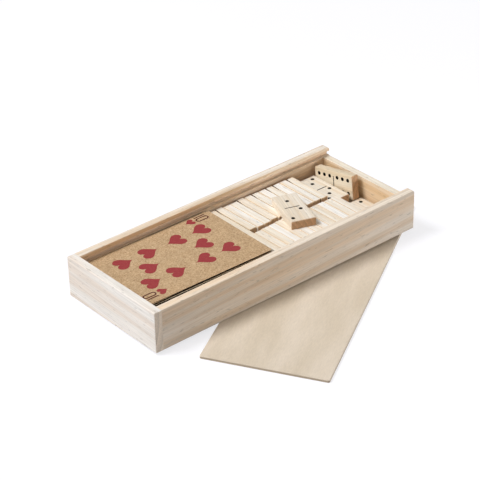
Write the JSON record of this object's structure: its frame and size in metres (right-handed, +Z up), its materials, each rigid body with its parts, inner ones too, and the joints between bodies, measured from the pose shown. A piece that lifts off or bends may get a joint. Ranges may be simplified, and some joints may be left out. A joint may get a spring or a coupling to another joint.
{
  "type": "games compendium box",
  "caption": "Wooden games box with its sliding lid drawn off and laid under it; a tray split by a divider holds a pack of playing cards and a set of dominoes.",
  "frame": {"origin": "on the ground, below the middle of the whole: the lid lies flat on the ground and the tray leans across it", "axes": "+X along the tray, towards its open end, +Y towards its back wall, +Z up"},
  "size_m": [0.2142, 0.1586, 0.0292],
  "materials": {
    "pine": "planed and sanded, bare",
    "plywood": "sanded, bare",
    "kraft_card": "uncoated recycled board",
    "domino_wood": "sanded, bare",
    "black_print": "matt printed ink",
    "red_print": "matt printed ink"
  },
  "bodies": {
    "tray": {"front_wall": "pine", "back_wall": "pine", "left_end_wall": "pine", "right_end_wall": "pine", "bottom_panel": "plywood", "divider": "pine"},
    "lid": {"lid": "plywood"},
    "card_deck": {"card_deck": "kraft_card"},
    "top_card": {"top_card": "kraft_card"},
    "domino_0_0": {"domino_0_0": "domino_wood"},
    "domino_0_1": {"domino_0_1": "domino_wood"},
    "domino_0_2": {"domino_0_2": "domino_wood"},
    "domino_1_3": {"domino_1_3": "domino_wood"},
    "domino_1_4": {"domino_1_4": "domino_wood"},
    "domino_1_5": {"domino_1_5": "domino_wood"},
    "domino_1_6": {"domino_1_6": "domino_wood"},
    "domino_2_2": {"domino_2_2": "domino_wood"},
    "domino_2_3": {"domino_2_3": "domino_wood"},
    "domino_2_4": {"domino_2_4": "domino_wood"},
    "domino_2_5": {"domino_2_5": "domino_wood"},
    "domino_4_4": {"domino_4_4": "domino_wood"},
    "domino_4_6": {"domino_4_6": "domino_wood"},
    "domino_5_5": {"domino_5_5": "domino_wood"},
    "covered_dominoes": {"domino_0_3": "domino_wood", "domino_0_4": "domino_wood", "domino_0_5": "domino_wood", "domino_0_6": "domino_wood", "domino_1_1": "domino_wood", "domino_2_6": "domino_wood", "domino_3_4": "domino_wood", "domino_3_5": "domino_wood", "domino_3_6": "domino_wood"},
    "domino_1_2": {"domino_1_2": "domino_wood"},
    "domino_5_6": {"domino_5_6": "domino_wood"},
    "domino_3_3": {"domino_3_3": "domino_wood"},
    "domino_4_5": {"domino_4_5": "domino_wood"},
    "domino_6_6": {"domino_6_6": "domino_wood"}
  },
  "joints": [
    {"name": "lid_slide", "type": "slide", "parent": "tray", "child": "lid", "axis": [-0.8545, -0.5195, 0], "range_m": [0, 0.2]},
    {"name": "card_deck_lift", "type": "slide", "parent": "tray", "child": "card_deck", "axis": [-0.0117, 0.0193, 0.9997], "range_m": [0, 0.03]},
    {"name": "top_card_lift", "type": "slide", "parent": "card_deck", "child": "top_card", "axis": [-0.0117, 0.0193, 0.9997], "range_m": [0, 0.03]},
    {"name": "domino_0_0_lift", "type": "slide", "parent": "tray", "child": "domino_0_0", "axis": [-0.0117, 0.0193, 0.9997], "range_m": [0, 0.03]},
    {"name": "domino_0_1_lift", "type": "slide", "parent": "tray", "child": "domino_0_1", "axis": [-0.0117, 0.0193, 0.9997], "range_m": [0, 0.03]},
    {"name": "domino_0_2_lift", "type": "slide", "parent": "tray", "child": "domino_0_2", "axis": [-0.0117, 0.0193, 0.9997], "range_m": [0, 0.03]},
    {"name": "domino_1_3_lift", "type": "slide", "parent": "tray", "child": "domino_1_3", "axis": [-0.0117, 0.0193, 0.9997], "range_m": [0, 0.03]},
    {"name": "domino_1_4_lift", "type": "slide", "parent": "tray", "child": "domino_1_4", "axis": [-0.0117, 0.0193, 0.9997], "range_m": [0, 0.03]},
    {"name": "domino_1_5_lift", "type": "slide", "parent": "tray", "child": "domino_1_5", "axis": [-0.0117, 0.0193, 0.9997], "range_m": [0, 0.03]},
    {"name": "domino_1_6_lift", "type": "slide", "parent": "tray", "child": "domino_1_6", "axis": [-0.0117, 0.0193, 0.9997], "range_m": [0, 0.03]},
    {"name": "domino_2_2_lift", "type": "slide", "parent": "tray", "child": "domino_2_2", "axis": [-0.0117, 0.0193, 0.9997], "range_m": [0, 0.03]},
    {"name": "domino_2_3_lift", "type": "slide", "parent": "tray", "child": "domino_2_3", "axis": [-0.0117, 0.0193, 0.9997], "range_m": [0, 0.03]},
    {"name": "domino_2_4_lift", "type": "slide", "parent": "tray", "child": "domino_2_4", "axis": [-0.0117, 0.0193, 0.9997], "range_m": [0, 0.03]},
    {"name": "domino_2_5_lift", "type": "slide", "parent": "tray", "child": "domino_2_5", "axis": [-0.0117, 0.0193, 0.9997], "range_m": [0, 0.03]},
    {"name": "domino_4_4_lift", "type": "slide", "parent": "tray", "child": "domino_4_4", "axis": [-0.0117, 0.0193, 0.9997], "range_m": [0, 0.03]},
    {"name": "domino_4_6_lift", "type": "slide", "parent": "tray", "child": "domino_4_6", "axis": [-0.0117, 0.0193, 0.9997], "range_m": [0, 0.03]},
    {"name": "domino_5_5_lift", "type": "slide", "parent": "tray", "child": "domino_5_5", "axis": [-0.0117, 0.0193, 0.9997], "range_m": [0, 0.03]},
    {"name": "covered_dominoes_lift", "type": "slide", "parent": "tray", "child": "covered_dominoes", "axis": [-0.0117, 0.0193, 0.9997], "range_m": [0, 0.03]},
    {"name": "domino_1_2_lift", "type": "slide", "parent": "covered_dominoes", "child": "domino_1_2", "axis": [-0.0117, 0.0193, 0.9997], "range_m": [0, 0.03]},
    {"name": "domino_5_6_lift", "type": "slide", "parent": "tray", "child": "domino_5_6", "axis": [-0.0117, 0.0193, 0.9997], "range_m": [0, 0.03]},
    {"name": "domino_3_3_lift", "type": "slide", "parent": "domino_5_6", "child": "domino_3_3", "axis": [-0.0117, 0.0193, 0.9997], "range_m": [0, 0.03]},
    {"name": "domino_4_5_lift", "type": "slide", "parent": "tray", "child": "domino_4_5", "axis": [-0.0117, 0.0193, 0.9997], "range_m": [0, 0.03]},
    {"name": "domino_6_6_lift", "type": "slide", "parent": "domino_4_5", "child": "domino_6_6", "axis": [-0.0117, 0.0193, 0.9997], "range_m": [0, 0.03]}
  ]
}
